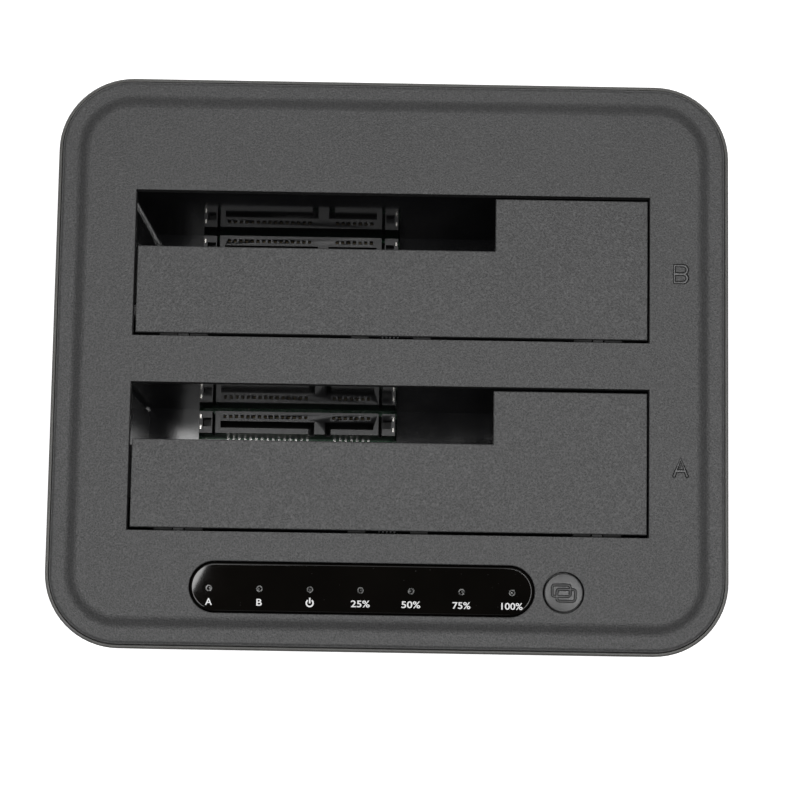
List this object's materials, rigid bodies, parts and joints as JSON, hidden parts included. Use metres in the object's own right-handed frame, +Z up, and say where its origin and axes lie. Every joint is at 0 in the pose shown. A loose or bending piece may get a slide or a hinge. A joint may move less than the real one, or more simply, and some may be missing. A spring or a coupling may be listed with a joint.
{
  "type": "drive duplicator",
  "caption": "Desktop docking station that holds hard drives upright in two flapped bays and copies one onto the other at the press of a button.",
  "frame": {"origin": "on the table, at the middle of the base", "axes": "+X to the right and +Y to the rear for someone facing the status window; +Z up"},
  "size_m": [0.1364, 0.1167, 0.0646],
  "materials": {
    "cover_plastic": "textured",
    "shell_plastic": "textured",
    "well_plastic": "polished",
    "window_plastic": "polished",
    "black_plastic": "satin",
    "connector_plastic": "satin",
    "contact_metal": "plated",
    "plated_metal": "plated",
    "steel": "plain",
    "board_laminate": "solder mask",
    "lamp_resin": "clear",
    "cable_grey": "plain",
    "port_blue": "plain",
    "foot_rubber": "matt",
    "chip_resin": "moulded",
    "capacitor_can": "sleeved"
  },
  "bodies": {
    "dock": {"top_cover": "cover_plastic", "body_shell": "shell_plastic", "bay_well_a": "well_plastic", "flap_spring_a": "steel", "sata_socket_a": "connector_plastic", "sata_contacts_a": "contact_metal", "sata_clips_a": "plated_metal", "bay_well_b": "well_plastic", "flap_spring_b": "steel", "sata_socket_b": "connector_plastic", "sata_contacts_b": "contact_metal", "sata_clips_b": "plated_metal", "status_window": "window_plastic", "light_baffle": "black_plastic", "front_board": "board_laminate", "status_lamps": "lamp_resin", "clone_switch": "black_plastic", "main_board": "board_laminate", "cable_headers": "connector_plastic", "flat_cable": "cable_grey", "usb_shell": "plated_metal", "usb_insert": "port_blue", "power_jack": "black_plastic", "jack_pin": "plated_metal", "power_switch": "black_plastic", "switch_lugs": "plated_metal", "rubber_feet": "foot_rubber", "case_screws": "steel", "well_screws": "steel", "front_screws": "steel", "board_screws": "steel", "board_chips": "chip_resin", "capacitors": "capacitor_can", "choke": "chip_resin"},
    "flap_a": {"bay_flap_a": "cover_plastic", "flap_pin_a": "steel"},
    "flap_b": {"bay_flap_b": "cover_plastic", "flap_pin_b": "steel"},
    "button": {"clone_button": "cover_plastic", "clone_plunger": "black_plastic"},
    "rocker": {"power_rocker": "black_plastic"}
  },
  "joints": [
    {"name": "flap_a_hinge", "type": "hinge", "parent": "dock", "child": "flap_a", "pos_m": [0, -0.03355, 0.06145], "axis": [-1, 0, 0], "range_deg": [0, 90], "stiffness_Nm_per_rad": 0.001, "springref_deg": -80.21, "deforming": ["flap_spring_a"]},
    {"name": "flap_b_hinge", "type": "hinge", "parent": "dock", "child": "flap_b", "pos_m": [0, 0.00562, 0.06145], "axis": [-1, 0, 0], "range_deg": [0, 90], "stiffness_Nm_per_rad": 0.001, "springref_deg": -80.21, "deforming": ["flap_spring_b"]},
    {"name": "clone_button_press", "type": "slide", "parent": "dock", "child": "button", "axis": [0, 0, -1], "range_m": [0, 0.0005], "stiffness_N_per_m": 2500, "springref_m": -0.0002},
    {"name": "power_rocker_tilt", "type": "hinge", "parent": "dock", "child": "rocker", "pos_m": [0.029, 0.05523, 0.0225], "axis": [0, 0, 1], "range_deg": [0, 16]}
  ]
}
